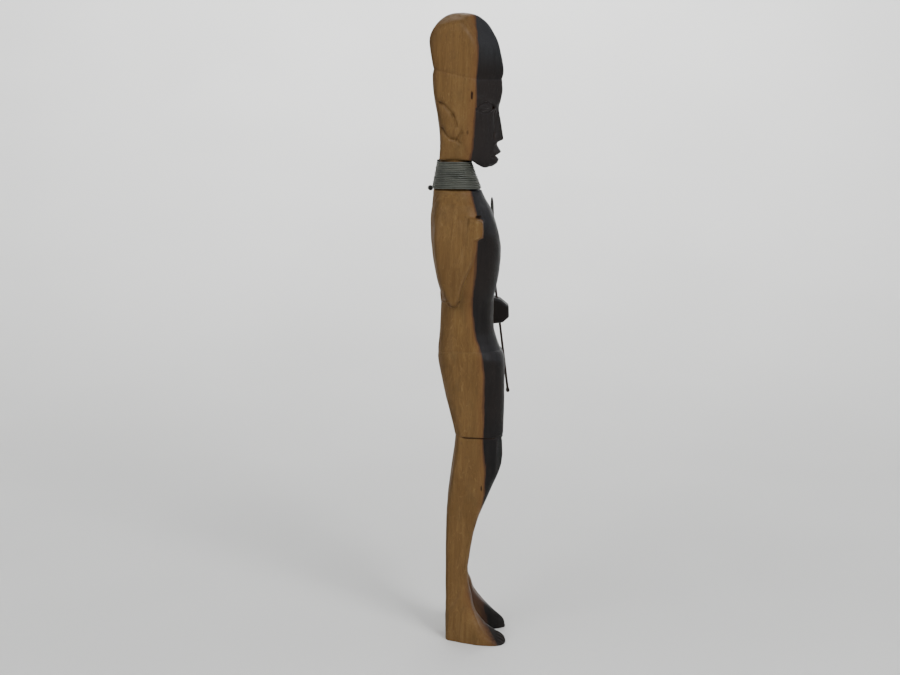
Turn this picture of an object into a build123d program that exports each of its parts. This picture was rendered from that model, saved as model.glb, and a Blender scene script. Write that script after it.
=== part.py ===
from build123d import *
from math import cos, radians
import os

# A slim standing figure carved from one block of wood, with a wire coil wound
# round its neck and a thin spear held upright in its left fist.
#
# Frame, in millimetres: +X is the way the figure faces, +Y is its left, +Z is up.
# The origin is on the floor, at the middle of the whole outline seen from above.

# ---- driving dimensions ----------------------------------------------------

# The floor plan, from the back of the head to the tips of the toes.
BACK_OF_HEAD = -22.3
TOE_TIP = 22.3
ELBOW_REACH = 20.5  # how far each arm stands out sideways from the middle

# Heights up the figure.
SOLE = 0.0
ANKLE_TOP = 34.0
HEM = 103.2  # the skirt's lower edge
BELT = 145.0  # the skirt's upper edge, and the widest part of the hips
WAIST = 171.5
SHELF = 224.6  # the flat round shelf on the shoulders that the coil rests on
CHIN = 236.2
NECK_TOP = 239.6
CROWN = 307.4

# The neck is an upright cone, and the wire coil is a slightly wider one.
NECK_X = -8.5
NECK_BASE_RADIUS = 10.6
NECK_TOP_RADIUS = 6.7
SHELF_X = -7.6
SHELF_RADIUS = 11.4

WIRE = 0.88
COIL_TURNS = 15  # a whole number, so both ends are at the nape
COIL_TOP_RADIUS = 7.45  # to the middle of the wire
COIL_SLOPE = 16.6  # degrees between the coil's side and the upright
COIL_HEIGHT = 13.1
COIL_GAP = 0.3  # between the coil and the wood
COIL_TOP = SHELF + COIL_GAP + WIRE / 2 + COIL_HEIGHT
WIRE_PITCH = COIL_HEIGHT / cos(radians(COIL_SLOPE)) / COIL_TURNS  # down the slope
EYE_RADIUS = 0.86  # the small eye that the wire's lower end is bent into
EYE_WIRE = 1.0  # the wire is beaten a little thicker there

# The spear: a thin rod in the left fist, straight below and gently bent above.
SPEAR_Y = 13.2
SPEAR_FOOT = (20.1, SPEAR_Y, 124.0)
SPEAR_BEND = (10.4, SPEAR_Y, 190.0)
SPEAR_HEAD = (9.75, SPEAR_Y, 216.4)
SPEAR_BEND_RADIUS = 180
ROD_RADIUS = 0.55
KNOB_RADIUS = 0.8
HOLE_RADIUS = 0.65  # the drilled hole in the fist
BLADE_HALF_THICKNESS = 0.35
# Half of the leaf-shaped point, as (half width, place along the rod).
BLADE_HALF = [(0, -6.5), (0.85, -3.6), (0.6, 0.2), (0, 3.6)]

CORNER_SHARE = 0.46  # corner radius of a carved level, over its smaller side
REACH = 60  # longer than any cut has to be

# Levels of each carved mass, as (height, back, front, low side, high side).
LEG_LEVELS = [
    (HEM, -5.0, 16.8, 0.9, 13.8),
    (96.0, -5.8, 17.5, 1.0, 13.4),
    (84.0, -7.2, 14.4, 1.0, 12.4),
    (72.0, -8.5, 9.9, 1.0, 11.0),
    (60.0, -9.0, 5.6, 1.0, 9.8),
    (47.0, -8.9, 3.3, 1.0, 9.0),
    (ANKLE_TOP, -8.5, 2.2, 1.0, 8.9),
    (20.0, -8.2, 3.6, 1.0, 9.3),
]
SKIRT_LEVELS = [
    (HEM, -5.0, 17.2, -14.2, 14.2),
    (115.0, -7.9, 17.5, -15.2, 15.2),
    (130.0, -11.8, 17.5, -16.2, 16.2),
    (BELT, -15.0, 17.3, -16.8, 16.8),
    (151.5, -14.8, 14.0, -15.4, 15.4),
    (160.0, -14.3, 11.7, -14.0, 14.0),
    (WAIST, -14.1, 11.0, -12.6, 12.6),
]
TORSO_LEVELS = [
    (WAIST, -13.6, 10.9, -12.6, 12.6),
    (180.0, -15.9, 12.4, -13.4, 13.4),
    (190.0, -18.0, 13.7, -14.2, 14.2),
    (200.0, -19.3, 13.7, -14.8, 14.8),
    (210.0, -19.6, 11.1, -14.8, 14.8),
    (217.0, -19.5, 8.0, -14.2, 14.2),
]
HEAD_LEVELS = [
    (NECK_TOP, -16.4, 1.4, -7.6, 7.6),
    (243.0, -16.4, 7.4, -8.8, 8.8),
    (250.0, -16.5, 9.0, -10.4, 10.4),
    (258.0, -17.6, 9.2, -11.6, 11.6),
    (266.0, -19.2, 11.2, -12.4, 12.4),
    (280.0, -20.4, 12.5, -13.0, 13.0),
    (292.5, BACK_OF_HEAD, 10.5, -13.0, 13.0),
    (300.0, -20.6, 6.8, -11.4, 11.4),
    (304.8, -16.6, 2.6, -7.8, 7.8),
    (CROWN, -12.0, -2.6, -3.6, 3.6),
]

# The face's middle line, from the forehead down to the throat, as (X, Z).
FACE_LINE = [
    (12.6, 272.6),
    (10.7, 264.2),
    (13.4, 249.4),
    (10.2, 247.4),
    (11.8, 244.0),
    (10.3, 242.4),
    (10.9, 240.8),
    (9.2, 237.4),
    (5.7, CHIN),
    (1.2, 239.4),
]
FACE_HALF_WIDTH = 3.4

# The instep's middle line, from the toe up to the shin, as (X, Z).
INSTEP_LINE = [(22.6, 2.4), (17.2, 7.0), (11.6, 12.0), (6.6, 18.3), (3.2, 25.0), (2.0, 31.0)]
# The left foot seen from above, as (X, Y); the right one is its mirror image.
FOOT_OUTLINE = [
    (-7.8, 0.9),
    (4.0, 1.2),
    (19.4, 6.4),
    (TOE_TIP, 10.2),
    (TOE_TIP, 13.4),
    (17.6, 17.0),
    (6.8, 16.2),
    (-7.8, 9.5),
]
FOOT_CORNER = 1.8
TOE_HEIGHT = 3.5
# The ankle that the foot narrows up to, with the same number of corners.
ANKLE_OUTLINE = [
    (-8.4, 2.0),
    (-4.0, 1.0),
    (0.2, 1.6),
    (2.2, 3.6),
    (2.2, 6.6),
    (0.2, 8.4),
    (-4.0, 9.0),
    (-8.4, 8.0),
]
ANKLE_CORNER = 0.6

# The right arm is folded up flat against the side: shoulder, elbow and forearm.
RIGHT_ARM_OUTLINE = [
    (-17.6, 215.0),
    (-18.2, 202.0),
    (-16.4, 187.0),
    (-12.2, 172.0),
    (-8.8, 170.2),
    (-6.0, 172.4),
    (-1.6, 184.0),
    (1.4, 196.0),
    (1.9, 214.6),
    (-2.6, 221.8),
    (-13.0, 221.8),
]
RIGHT_ARM_FOLD = [(-4.7, 213.0), (-7.4, 190.0), (-6.0, 190.6)]
FOLD_DEPTH = 2.2
RIGHT_FIST_OUTLINE = [(-0.4, 203.8), (4.6, 203.8), (4.6, 212.0), (-0.4, 213.4)]

# The left arm hangs down the side, and its forearm reaches forward to the spear.
LEFT_ARM_OUTLINE = [
    (-17.6, 215.0),
    (-18.2, 202.0),
    (-16.6, 186.0),
    (-14.0, 162.0),
    (-10.0, 158.4),
    (5.0, 158.8),
    (5.0, 170.6),
    (-4.6, 172.4),
    (-6.6, 184.0),
    (-5.4, 203.0),
    (-2.6, 221.8),
    (-13.0, 221.8),
]
LEFT_FIST_OUTLINE = [
    (10.0, 158.6),
    (16.6, 158.8),
    (19.4, 161.8),
    (19.2, 166.8),
    (15.0, 170.4),
    (10.0, 171.8),
]
LEFT_FIST_HALF_WIDTH = 4.8
ARM_INNER = 10.5
ARM_CHAMFER = 2.0
FIST_CHAMFER = 1.0

# Both shoulders slope from the shelf down to the upper arms, as (Y, Z).
SHOULDER_LIMIT = [
    (0, 150.0),
    (16.5, 156.0),
    (18.6, 164.0),
    (ELBOW_REACH, 176.0),
    (ELBOW_REACH, 206.0),
    (18.6, 213.6),
    (SHELF_RADIUS + 0.6, 222.4),
    (0, 223.0),
]


# ---- helpers -----------------------------------------------------------------


def carve_levels(levels, flat=False):
    """Lofts one mass of the figure through its levels, smoothly or in flat facets."""
    sections = []
    for height, back, front, low_side, high_side in levels:
        depth = front - back
        width = high_side - low_side
        with BuildSketch(Plane.XY.offset(height)) as level:
            with Locations(((back + front) / 2, (low_side + high_side) / 2)):
                RectangleRounded(depth, width, CORNER_SHARE * min(depth, width))
        sections.append(level.sketch)
    loft(sections, ruled=flat)


def side_slab(outline, low_side, high_side):
    """Cuts an outline drawn in the side view out of a slab between two sides."""
    with BuildSketch(Plane.XZ) as profile:
        with BuildLine():
            Polyline(*outline, close=True)
        make_face()
    extrude(profile.sketch, amount=REACH, both=True)
    with Locations((0, (low_side + high_side) / 2, CROWN / 2)):
        Box(2 * REACH, high_side - low_side, 2 * CROWN, mode=Mode.INTERSECT)


def arm(outline, side):
    """One arm in relief against the torso; side is +1 for the left, -1 for the right."""
    near, far = sorted((side * ARM_INNER, side * ELBOW_REACH))
    with BuildPart() as limb:
        side_slab(outline, near, far)
        outer_face = limb.faces().sort_by(Axis.Y)[-1 if side > 0 else 0]
        chamfer(outer_face.edges(), ARM_CHAMFER)
        with BuildSketch(Plane.YZ):
            with BuildLine():
                Polyline(*[(side * y, z) for y, z in SHOULDER_LIMIT], close=True)
            make_face()
        extrude(amount=REACH, both=True, mode=Mode.INTERSECT)
    return limb.part


def fist(outline, low_side, high_side):
    """A clenched hand as a block with chamfered edges."""
    with BuildPart() as hand:
        side_slab(outline, low_side, high_side)
        chamfer(hand.edges(), FIST_CHAMFER)
    return hand.part


def foot():
    """The left foot: narrowing to the ankle, and cut down to the slope of the instep."""
    sections = []
    for height, outline, corner in (
        (SOLE, FOOT_OUTLINE, FOOT_CORNER),
        (TOE_HEIGHT, FOOT_OUTLINE, FOOT_CORNER),
        (INSTEP_LINE[-1][1], ANKLE_OUTLINE, ANKLE_CORNER),
    ):
        with BuildSketch(Plane.XY.offset(height)) as level:
            with BuildLine():
                Polyline(*outline, close=True)
            make_face()
            fillet(level.vertices(), corner)
        sections.append(level.sketch)
    with BuildPart() as left_foot:
        loft(sections, ruled=True)
        with BuildSketch(Plane.XZ):
            with BuildLine():
                instep = Spline(*INSTEP_LINE)
                Polyline(
                    instep @ 1,
                    (BACK_OF_HEAD, INSTEP_LINE[-1][1]),
                    (BACK_OF_HEAD, SOLE),
                    (INSTEP_LINE[0][0], SOLE),
                    instep @ 0,
                )
            make_face()
        extrude(amount=REACH, both=True, mode=Mode.INTERSECT)
    return left_foot.part


left_foot = foot()
right_arm = arm(RIGHT_ARM_OUTLINE, -1)
left_arm = arm(LEFT_ARM_OUTLINE, +1)
right_fist = fist(RIGHT_FIST_OUTLINE, -ELBOW_REACH, -ARM_INNER)
left_fist = fist(
    LEFT_FIST_OUTLINE, SPEAR_Y - LEFT_FIST_HALF_WIDTH, SPEAR_Y + LEFT_FIST_HALF_WIDTH
)

# The spear's straight lower part, which is also the way it slides through the fist.
spear_direction = (Vector(*SPEAR_BEND) - Vector(*SPEAR_FOOT)).normalized()
spear_plane = Plane(origin=SPEAR_FOOT, x_dir=(0, 1, 0), z_dir=spear_direction)


# ---- carved_figure -----------------------------------------------------------

with BuildPart() as carved_figure:
    # Legs and feet, made on the left and mirrored, with a narrow slit between them.
    carve_levels(LEG_LEVELS)
    add(left_foot)
    mirror(about=Plane.XZ)

    # Skirt and hips, then the torso up to the shoulders.
    carve_levels(SKIRT_LEVELS, flat=True)
    carve_levels(TORSO_LEVELS)
    with BuildSketch(Plane.XY.offset(TORSO_LEVELS[-1][0])):
        top_back, top_front = TORSO_LEVELS[-1][1:3]
        top_width = 2 * TORSO_LEVELS[-1][4]
        with Locations(((top_back + top_front) / 2, 0)):
            Ellipse((top_front - top_back) / 2, top_width / 2)
    with BuildSketch(Plane.XY.offset(SHELF)):
        with Locations((SHELF_X, 0)):
            Circle(SHELF_RADIUS)
    loft()

    # The neck, an upright cone inside the coil, and the head on top of it.
    with Locations((NECK_X, 0, SHELF)):
        Cone(
            NECK_BASE_RADIUS,
            NECK_TOP_RADIUS,
            NECK_TOP - SHELF,
            align=(Align.CENTER, Align.CENTER, Align.MIN),
        )
    carve_levels(HEAD_LEVELS)

    # Brow, nose, lips and chin in profile.
    with BuildSketch(Plane.XZ):
        with BuildLine():
            Polyline(*FACE_LINE, (NECK_X, 243.0), (NECK_X, 272.6), close=True)
        make_face()
    extrude(amount=FACE_HALF_WIDTH, both=True)

    # Arms and hands.
    add(right_arm)
    add(left_arm)
    add(right_fist)
    add(left_fist)
    for x, middle, half_width in ((3.0, 15.2, 4.2), (12.0, SPEAR_Y, 4.0)):
        with BuildSketch(Plane.YZ.offset(x)):
            with Locations((middle, 164.8)):
                RectangleRounded(2 * half_width, 11.0, 2.5)
    loft()

    # The fold between the right forearm and the upper arm.
    with BuildSketch(Plane.XZ.offset(ELBOW_REACH - FOLD_DEPTH)):
        with BuildLine():
            Polyline(*RIGHT_ARM_FOLD, close=True)
        make_face()
    extrude(amount=REACH, mode=Mode.SUBTRACT)

    # The hole through the left fist that the spear slides in.
    with Locations(spear_plane.location):
        Cylinder(
            HOLE_RADIUS,
            REACH,
            align=(Align.CENTER, Align.CENTER, Align.MIN),
            mode=Mode.SUBTRACT,
        )

carved_figure.part.label = "carved_figure"


# ---- neck_coil ---------------------------------------------------------------

with BuildPart() as neck_coil:
    with BuildLine():
        winding = Helix(
            pitch=WIRE_PITCH,
            height=COIL_HEIGHT,
            radius=COIL_TOP_RADIUS,
            center=(NECK_X, 0, COIL_TOP),
            direction=(0, 0, -1),
            cone_angle=COIL_SLOPE,
        )
    with BuildSketch(Plane(origin=winding @ 0, z_dir=winding % 0)):
        Circle(WIRE / 2)
    sweep(is_frenet=True)
    # The eye stands across the wire's lower end and hangs just behind the shelf.
    eye_centre = winding @ 1 + Vector(-EYE_RADIUS, 0, 0)
    with Locations(Plane(origin=eye_centre, z_dir=winding % 1).location):
        Torus(EYE_RADIUS, EYE_WIRE / 2)

neck_coil.part.label = "neck_coil"


# ---- spear -------------------------------------------------------------------

head_direction = (Vector(*SPEAR_HEAD) - Vector(*SPEAR_BEND)).normalized()
blade_plane = Plane(
    origin=SPEAR_HEAD,
    x_dir=head_direction.cross(Vector(0, -1, 0)),
    z_dir=(0, -1, 0),
)

with BuildPart() as spear:
    with BuildLine():
        route = FilletPolyline(SPEAR_FOOT, SPEAR_BEND, SPEAR_HEAD, radius=SPEAR_BEND_RADIUS)
    with BuildSketch(spear_plane):
        Circle(ROD_RADIUS)
    sweep()
    with Locations(SPEAR_FOOT):
        Sphere(KNOB_RADIUS)
    with BuildSketch(blade_plane):
        with BuildLine():
            Polyline(*BLADE_HALF, *[(-x, y) for x, y in BLADE_HALF[-2:0:-1]], close=True)
        make_face()
    extrude(amount=BLADE_HALF_THICKNESS, both=True)

spear.part.label = "spear"


# ---- export ------------------------------------------------------------------

os.makedirs("parts", exist_ok=True)
export_step(carved_figure.part, "parts/carved_figure.step")
export_step(neck_coil.part, "parts/neck_coil.step")
export_step(spear.part, "parts/spear.step")
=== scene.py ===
import math

import bpy
import numpy as np
from mathutils import Matrix, Vector


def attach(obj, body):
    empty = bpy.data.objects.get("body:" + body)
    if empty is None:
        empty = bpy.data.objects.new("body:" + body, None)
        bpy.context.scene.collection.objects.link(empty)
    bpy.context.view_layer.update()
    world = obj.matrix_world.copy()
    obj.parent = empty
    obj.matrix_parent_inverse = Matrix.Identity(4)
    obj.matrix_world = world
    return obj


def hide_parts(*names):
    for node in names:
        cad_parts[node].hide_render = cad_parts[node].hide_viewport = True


# A slim doll carved from one block of two-tone hardwood, with a wire coil round its
# neck and a thin spear in its left fist. The carving is modelled as a distance field
# in millimetres, with +X the way the figure faces, +Y its left and +Z up.

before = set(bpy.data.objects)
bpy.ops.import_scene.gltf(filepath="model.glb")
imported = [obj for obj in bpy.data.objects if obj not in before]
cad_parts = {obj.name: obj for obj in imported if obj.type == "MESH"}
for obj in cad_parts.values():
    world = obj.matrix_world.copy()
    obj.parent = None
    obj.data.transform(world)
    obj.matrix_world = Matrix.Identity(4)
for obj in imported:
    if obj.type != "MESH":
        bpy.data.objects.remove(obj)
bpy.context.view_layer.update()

MM = 0.001  # a millimetre in metres
VOXEL = 0.30  # the step of the field's grid
FAR = 6.0  # the field's value where no shape has been added
GRID_LOW = (-24.0, -21.8, -1.0)
GRID_HIGH = (24.0, 21.8, 309.0)

# ---- the distance field ----

axes = [np.arange(low, high, VOXEL, dtype=np.float32) for low, high in zip(GRID_LOW, GRID_HIGH)]
field = np.full([len(a) for a in axes], FAR, dtype=np.float32)


def smooth_union(a, b, blend):
    """The two shapes joined, with a fillet about blend wide between them."""
    share = np.clip(0.5 + 0.5 * (b - a) / blend, 0, 1)
    return b + (a - b) * share - blend * share * (1 - share)


def smooth_common(a, b, blend):
    """What the two shapes share, with its edge rounded over blend."""
    return -smooth_union(-a, -b, blend)


def region(low, high):
    """The part of the grid between two corners, and its coordinates."""
    cuts = []
    for a, l, h in zip(axes, low, high):
        first, last = np.searchsorted(a, (l, h))
        cuts.append(slice(int(first), int(last)))
    x, y, z = (a[c] for a, c in zip(axes, cuts))
    return tuple(cuts), x[:, None, None], y[None, :, None], z[None, None, :]


def add(shape, low, high, blend=0.6, upper_blend=None, between=(0, 1)):
    """Joins a shape on. The blend can grow to upper_blend between two heights."""
    cuts, x, y, z = region(low, high)
    if upper_blend is not None:
        blend = np.interp(z, between, (blend, upper_blend))
    field[cuts] = smooth_union(field[cuts], shape(x, y, z), blend)


def cut(shape, low, high, blend=0.4):
    """Takes a shape away."""
    cuts, x, y, z = region(low, high)
    field[cuts] = smooth_common(field[cuts], -shape(x, y, z), blend)


def engrave(depth, low, high):
    """Pushes the surface in by depth(x, y, z) millimetres, or out where it is negative."""
    cuts, x, y, z = region(low, high)
    field[cuts] += depth(x, y, z)


def levels_at(levels, z, soften):
    """Every column of a level list at the heights z, with its corners softened."""
    table = np.array(sorted(levels), dtype=float)
    taps = np.linspace(-1, 1, 9)
    weights = 1.05 - taps**2
    weights /= weights.sum()
    columns = []
    for values in table[:, 1:].T:
        nearby = [np.interp(z + soften * t, table[:, 0], values) for t in taps]
        columns.append(sum(w * value for w, value in zip(weights, nearby)))
    return columns


def column(levels, soften=2.0):
    """An upright mass of rounded-rectangle levels.

    Each level is its height, back, front, low side and high side, and how round its corners
    are at the back and at the front.
    """

    def shape(x, y, z):
        back, front, low, high, round_back, round_front = levels_at(levels, z, soften)
        half_x, half_y = (front - back) / 2, (high - low) / 2
        roundness = np.where(x < (front + back) / 2, round_back, round_front)
        corner = roundness * np.minimum(half_x, half_y)
        out_x = np.abs(x - (front + back) / 2) - (half_x - corner)
        out_y = np.abs(y - (high + low) / 2) - (half_y - corner)
        outside = np.hypot(np.maximum(out_x, 0), np.maximum(out_y, 0))
        side = outside + np.minimum(np.maximum(out_x, out_y), 0) - corner
        heights = [level[0] for level in levels]
        return np.maximum(side, np.maximum(z - max(heights), min(heights) - z))

    return shape


def rounded_outline(points, steps=5):
    """A closed outline through the points, with a Catmull-Rom curve between them."""
    p = np.array(points, dtype=float)
    before, after, beyond = np.roll(p, 1, 0), np.roll(p, -1, 0), np.roll(p, -2, 0)
    result = []
    for t in np.arange(steps) / steps:
        curve = (
            2 * p
            + (after - before) * t
            + (2 * before - 5 * p + 4 * after - beyond) * t**2
            + (3 * p - before - 3 * after + beyond) * t**3
        )
        result.append(curve / 2)
    return np.stack(result, 1).reshape(-1, 2)


def outline_distance(points, u, v):
    """Signed distance from a closed outline, negative inside."""
    p = np.array(points, dtype=float)
    best = np.full(np.broadcast(u, v).shape, 1e9)
    inside = np.zeros(best.shape, dtype=bool)
    for (au, av), (bu, bv) in zip(p, np.roll(p, -1, 0)):
        eu, ev = bu - au, bv - av
        t = np.clip(((u - au) * eu + (v - av) * ev) / (eu * eu + ev * ev), 0, 1)
        best = np.minimum(best, (u - au - t * eu) ** 2 + (v - av - t * ev) ** 2)
        if av != bv:
            crosses = ((av <= v) != (bv <= v)) & (u < au + (v - av) / (bv - av) * eu)
            inside ^= crosses
    return np.where(inside, -1, 1) * np.sqrt(best)


def path_distance(points, u, v):
    """Distance from an open line of points."""
    best = np.full(np.broadcast(u, v).shape, 1e9)
    for (au, av), (bu, bv) in zip(points, points[1:]):
        eu, ev = bu - au, bv - av
        t = np.clip(((u - au) * eu + (v - av) * ev) / (eu * eu + ev * ev), 0, 1)
        best = np.minimum(best, (u - au - t * eu) ** 2 + (v - av - t * ev) ** 2)
    return np.sqrt(best)


def ellipsoid(cx, cy, cz, rx, ry, rz):
    def shape(x, y, z):
        reach = np.sqrt(((x - cx) / rx) ** 2 + ((y - cy) / ry) ** 2 + ((z - cz) / rz) ** 2)
        return (reach - 1) * min(rx, ry, rz)

    return shape


def both_sides(shape):
    """A shape drawn on the left, and its mirror image on the right."""
    return lambda x, y, z: shape(x, np.abs(y), z)


# ---- legs and feet ----

LEGS = [
    (109.5, -4.5, 13.5, 0.8, 11.5, 0.50, 0.70),
    (107.2, -5.0, 16.0, 0.8, 13.4, 0.50, 0.55),
    (105.5, -5.2, 17.1, 0.8, 13.9, 0.50, 0.45),
    (97.0, -5.8, 17.7, 1.0, 13.6, 0.50, 0.45),
    (92.0, -6.3, 17.2, 1.0, 13.2, 0.52, 0.50),
    (86.0, -7.0, 15.2, 1.0, 12.6, 0.56, 0.62),
    (78.4, -7.9, 12.3, 1.0, 11.7, 0.60, 0.80),
    (72.0, -8.6, 9.9, 1.0, 11.0, 0.64, 0.86),
    (64.0, -9.0, 6.8, 1.0, 10.2, 0.66, 0.86),
    (56.0, -9.1, 4.8, 1.0, 9.6, 0.68, 0.86),
    (47.0, -9.0, 3.4, 1.0, 9.1, 0.70, 0.86),
    (37.0, -8.8, 2.1, 1.0, 9.0, 0.70, 0.86),
    (30.0, -8.7, 2.7, 1.0, 9.1, 0.68, 0.80),
    (24.0, -8.5, 4.0, 1.0, 9.3, 0.64, 0.72),
    (12.0, -8.0, 5.0, 1.0, 9.6, 0.55, 0.6),
    (0.0, -7.2, 6.0, 1.0, 9.8, 0.45, 0.5),
]
FOOT_PLAN = [
    (-7.1, 1.0), (-2.0, 0.9), (5.0, 1.6), (12.0, 3.9), (19.2, 6.2), (22.3, 8.2), (23.2, 10.6),
    (22.7, 13.4), (20.5, 16.0), (16.4, 17.2), (8.0, 16.4), (0.0, 13.6), (-6.6, 10.4), (-7.2, 9.4),
]
INSTEP = [
    (-9.0, -3.0), (23.3, -3.0), (23.4, 2.0), (22.3, 4.5), (19.8, 6.9), (15.8, 10.2), (11.6, 13.8),
    (8.0, 17.9), (5.2, 22.2), (3.0, 27.4), (0.4, 27.0), (-3.0, 20.0), (-9.0, 12.0),
]
FOOT_FRONT = [
    (-1.0, -3.0), (17.4, -3.0), (17.3, 3.0), (16.0, 7.0), (13.6, 12.0), (11.4, 18.0), (9.8, 26.0),
    (8.9, 34.0), (-1.0, 34.0),
]

# How far out the slanting front planes of the thighs stand, at each height.
THIGH_HEIGHTS = (80, 86, 92, 98, 110)
THIGH_REACH = (22.0, 18.6, 19.2, 19.5, 20.0)
# How much of a foot's lowering applies, at each place along the foot.
INSTEP_PLACES = (0.0, 5.0, 12.0, 17.0, 21.5)
INSTEP_SHARES = (0.0, 1.0, 1.0, 0.75, 0.35)
NEAR_FOOT_LOWERING = 5.4
OUTWARD_FALL = 0.34  # the slope of the instep towards the little toe


def thigh_front(x, y, z):
    """Sharp edges run down the front of each thigh, where its side turns to the front."""
    return x * 0.8 + np.abs(y) * 0.6 - np.interp(z, THIGH_HEIGHTS, THIGH_REACH)


def foot(side, lower):
    """A foot on one side of the figure. The instep can be carved lower."""

    def shape(x, y, z):
        across = side * y
        plan = outline_distance(FOOT_PLAN, x[:, :, 0], across[:, :, 0])[:, :, None]
        drop = lower * np.interp(x[:, 0], INSTEP_PLACES, INSTEP_SHARES)
        forward = x[:, 0].astype(float)
        instep = outline_distance(rounded_outline(INSTEP, 3), forward, z[:, 0] + drop)[:, None, :]
        front = outline_distance(FOOT_FRONT, across[0], z[0])[None, :, :]
        fall = OUTWARD_FALL * np.maximum(across - 8, 0) * np.clip((16 - z) / 8, 0, 1)
        return smooth_common(smooth_common(plan, instep + fall, 2.6), front, 1.6)

    return shape


# ---- skirt, hips and torso ----

SKIRT = [
    (106.2, -5.7, 17.7, -14.5, 14.5, 0.50, 0.58),
    (112.3, -7.1, 17.8, -14.9, 14.9, 0.50, 0.60),
    (118.4, -8.8, 17.8, -15.2, 15.2, 0.52, 0.62),
    (124.5, -10.6, 17.8, -15.6, 15.6, 0.54, 0.64),
    (130.5, -12.0, 17.7, -16.0, 16.0, 0.56, 0.66),
    (136.5, -13.4, 17.5, -16.4, 16.4, 0.58, 0.70),
    (142.0, -14.6, 17.5, -16.7, 16.7, 0.60, 0.74),
    (145.5, -15.1, 17.0, -16.7, 16.7, 0.60, 0.78),
    (148.4, -15.1, 15.4, -16.2, 16.2, 0.62, 0.86),
    (151.5, -14.8, 13.9, -15.4, 15.4, 0.64, 0.86),
    (157.4, -14.4, 11.9, -14.4, 14.4, 0.66, 0.86),
    (163.0, -14.3, 11.3, -13.8, 13.6, 0.68, 0.86),
    (169.3, -14.2, 11.2, -13.4, 13.0, 0.70, 0.86),
    (171.6, -14.1, 11.1, -13.3, 12.8, 0.70, 0.86),
]
TORSO = [
    (166.0, -12.4, 11.0, -12.8, 12.4, 0.74, 0.86),
    (172.2, -13.5, 11.2, -13.4, 12.7, 0.76, 0.86),
    (175.2, -14.6, 11.5, -14.4, 13.2, 0.80, 0.88),
    (181.0, -16.2, 12.7, -15.8, 14.0, 0.84, 0.90),
    (186.9, -17.5, 13.6, -16.6, 14.8, 0.88, 0.92),
    (192.7, -18.6, 14.1, -17.0, 15.4, 0.90, 0.92),
    (198.5, -19.3, 14.0, -17.2, 16.0, 0.90, 0.92),
    (204.3, -19.5, 12.9, -17.3, 16.4, 0.90, 0.92),
    (210.1, -19.6, 11.1, -16.9, 16.4, 0.90, 0.92),
    (215.8, -19.6, 9.1, -15.5, 15.4, 0.92, 0.94),
    (221.6, -19.2, 5.5, -12.9, 12.9, 0.95, 0.96),
    (225.0, -19.0, 3.8, -11.5, 11.5, 0.98, 0.98),
]
SHOULDERS = [
    (0.0, 150.0), (16.5, 156.0), (18.6, 164.0), (20.2, 178.0), (20.5, 190.0), (19.7, 200.0),
    (18.2, 207.0), (16.0, 213.0), (12.6, 219.4), (0.0, 222.6),
]
RIGHT_ARM = [
    (-10.0, 223.0), (-15.4, 220.0), (-17.6, 214.0), (-18.3, 205.0), (-17.6, 195.0),
    (-15.6, 184.0), (-13.2, 176.0), (-11.6, 172.6), (-10.0, 170.6), (-6.6, 170.4), (-5.5, 173.2),
    (-4.9, 178.0), (-3.5, 182.6), (-1.6, 187.6), (1.2, 195.0), (2.0, 205.0), (1.4, 213.6),
    (-1.2, 219.8), (-4.6, 223.0),
]
LEFT_ARM = [
    (-10.0, 223.0), (-15.4, 220.0), (-17.6, 214.0), (-18.3, 205.0), (-17.6, 195.0),
    (-16.0, 184.0), (-14.2, 168.0), (-12.6, 161.0), (-8.0, 158.2), (4.0, 159.0), (11.0, 159.6),
    (11.0, 169.6), (2.0, 171.4), (-3.6, 173.0), (-6.4, 180.0), (-6.6, 196.0), (-4.0, 212.0),
    (-2.4, 219.8), (-4.6, 223.0),
]
RIGHT_FIST = [
    (-2.0, 203.8), (2.2, 203.4), (4.6, 204.4), (4.9, 207.4), (4.6, 211.6), (2.2, 212.6),
    (-2.0, 213.6),
]
LEFT_FIST = [
    (9.6, 158.5), (12.2, 158.3), (16.4, 159.0), (19.4, 161.8), (19.2, 167.2), (15.0, 170.4),
    (9.9, 171.8),
]
SPEAR_Y = 13.2
ARM_INNER = 9.0  # each arm starts this far from the middle, inside the torso
LEFT_FIST_HALF_WIDTH = 4.8
RIGHT_FIST_OUTER, RIGHT_FIST_INNER = -19.3, -11.0


def arm(outline, side, blend):
    """An arm in relief: side is -1 for the right arm and +1 for the left."""
    curve = rounded_outline(outline, 3)

    def shape(x, y, z):
        flat = outline_distance(curve, x[:, 0], z[:, 0])[:, None, :]
        front = outline_distance(rounded_outline(SHOULDERS, 4), side * y[0], z[0])[None, :, :]
        return np.maximum(smooth_common(flat, front, blend), ARM_INNER - side * y)

    return shape


def fist(outline, low, high, blend):
    """A clenched hand, from its outline seen from the side and its two sides."""

    def shape(x, y, z):
        flat = outline_distance(outline, x[:, 0], z[:, 0])[:, None, :]
        return smooth_common(flat, np.abs(y - (low + high) / 2) - (high - low) / 2, blend)

    return shape


# ---- head ----

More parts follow.
